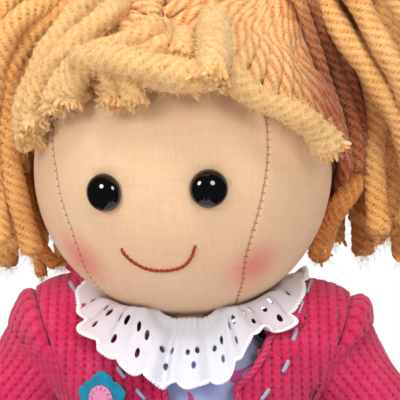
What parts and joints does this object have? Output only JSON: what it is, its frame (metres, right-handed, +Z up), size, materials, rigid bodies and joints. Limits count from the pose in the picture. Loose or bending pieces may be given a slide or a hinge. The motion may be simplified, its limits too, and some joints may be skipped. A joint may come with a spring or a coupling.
{
  "type": "rag doll",
  "caption": "Seated cloth doll with stuffed head, body and limbs, yarn hair in bunches, domed eyes, knitted cardigan, frilled eyelet collar, gathered skirt and strap shoes.",
  "frame": {"origin": "on the floor under the middle of the seat", "axes": "+Z up, the doll faces -Y, +X towards its left hand as it sits, which is the viewer's right"},
  "size_m": [0.2314, 0.2239, 0.2424],
  "materials": {
    "peach_cotton": "plain woven cotton",
    "white_stuffing": "loose fibre",
    "blond_wool": "thick plied yarn",
    "black_eye": "glossy",
    "white_plastic": "satin",
    "red_thread": "twisted thread",
    "blue_elastic": "covered elastic",
    "lilac_print": "printed cotton",
    "white_lawn": "fine cotton",
    "pink_knit": "ribbed knit",
    "white_lace": "eyelet cotton",
    "teal_felt": "felt",
    "shoe_felt": "felt",
    "shoe_sole": "thick felt"
  },
  "bodies": {
    "torso": {"torso_filling": "white_stuffing", "torso_cover": "peach_cotton", "dress_bodice": "lilac_print", "bloomers_seat": "white_lawn", "cardigan_back": "pink_knit", "cardigan_front_left": "pink_knit", "cardigan_front_right": "pink_knit", "flower_petals": "teal_felt", "flower_centre": "lilac_print", "collar_band": "white_lace", "collar_frill": "white_lace"},
    "neck": {"neck_stub": "peach_cotton"},
    "head": {"head_filling": "white_stuffing", "face_panel": "peach_cotton", "side_panel_left": "peach_cotton", "side_panel_right": "peach_cotton", "back_panel": "peach_cotton", "eye_left": "black_eye", "eye_right": "black_eye", "eye_washer_left": "white_plastic", "eye_washer_right": "white_plastic", "smile_stitch": "red_thread", "hair_cap": "blond_wool", "fringe": "blond_wool", "hair_tie_left": "blue_elastic", "hair_tie_right": "blue_elastic"},
    "bunch_left": {"bunch_left": "blond_wool"},
    "bunch_right": {"bunch_right": "blond_wool"},
    "arm_left": {"arm_filling_left": "white_stuffing", "arm_cover_left": "peach_cotton", "sleeve_left": "pink_knit", "sleeve_cuff_left": "pink_knit"},
    "arm_right": {"arm_filling_right": "white_stuffing", "arm_cover_right": "peach_cotton", "sleeve_right": "pink_knit", "sleeve_cuff_right": "pink_knit"},
    "lap": {"hip_strip": "white_lawn", "skirt": "lilac_print"},
    "leg_left": {"leg_filling_left": "white_stuffing", "leg_cover_left": "peach_cotton", "bloomer_leg_left": "white_lawn", "shoe_upper_left": "shoe_felt", "shoe_sole_left": "shoe_sole", "shoe_strap_left": "shoe_felt", "shoe_button_left": "white_plastic"},
    "leg_right": {"leg_filling_right": "white_stuffing", "leg_cover_right": "peach_cotton", "bloomer_leg_right": "white_lawn", "shoe_upper_right": "shoe_felt", "shoe_sole_right": "shoe_sole", "shoe_strap_right": "shoe_felt", "shoe_button_right": "white_plastic"}
  },
  "joints": [
    {"name": "head_nod", "type": "hinge", "parent": "torso", "child": "neck", "pos_m": [0, 0, 0.088], "axis": [0.9993, 0, 0.0366], "range_deg": [-8, 8]},
    {"name": "head_turn", "type": "hinge", "parent": "neck", "child": "head", "pos_m": [-0.00227, 0, 0.14996], "axis": [-0.0366, 0, 0.9993], "range_deg": [-30, 30]},
    {"name": "bunch_left_swing", "type": "hinge", "parent": "head", "child": "bunch_left", "pos_m": [-0.04963, 0.01238, 0.22067], "axis": [0.1735, 0.9848, 0.0064], "range_deg": [0, 40]},
    {"name": "bunch_right_swing", "type": "hinge", "parent": "head", "child": "bunch_right", "pos_m": [0.04132, -0.00366, 0.224], "axis": [-0.1735, -0.9848, -0.0064], "range_deg": [0, 40]},
    {"name": "arm_left_swing", "type": "hinge", "parent": "torso", "child": "arm_left", "pos_m": [-0.051, 0.002, 0.082], "axis": [-1, 0, 0], "range_deg": [-35, 90]},
    {"name": "arm_right_swing", "type": "hinge", "parent": "torso", "child": "arm_right", "pos_m": [0.051, 0.002, 0.082], "axis": [-1, 0, 0], "range_deg": [-35, 90]},
    {"name": "sit_fold", "type": "hinge", "parent": "torso", "child": "lap", "pos_m": [0, -0.03556, 0.018], "axis": [1, 0, 0], "range_deg": [-15, 76], "deforming": ["skirt"]},
    {"name": "leg_left_swing", "type": "hinge", "parent": "lap", "child": "leg_left", "pos_m": [-0.022, -0.03556, 0.018], "axis": [1, 0, 0], "range_deg": [-10, 10]},
    {"name": "leg_right_swing", "type": "hinge", "parent": "lap", "child": "leg_right", "pos_m": [0.022, -0.03556, 0.018], "axis": [1, 0, 0], "range_deg": [-10, 10]}
  ]
}
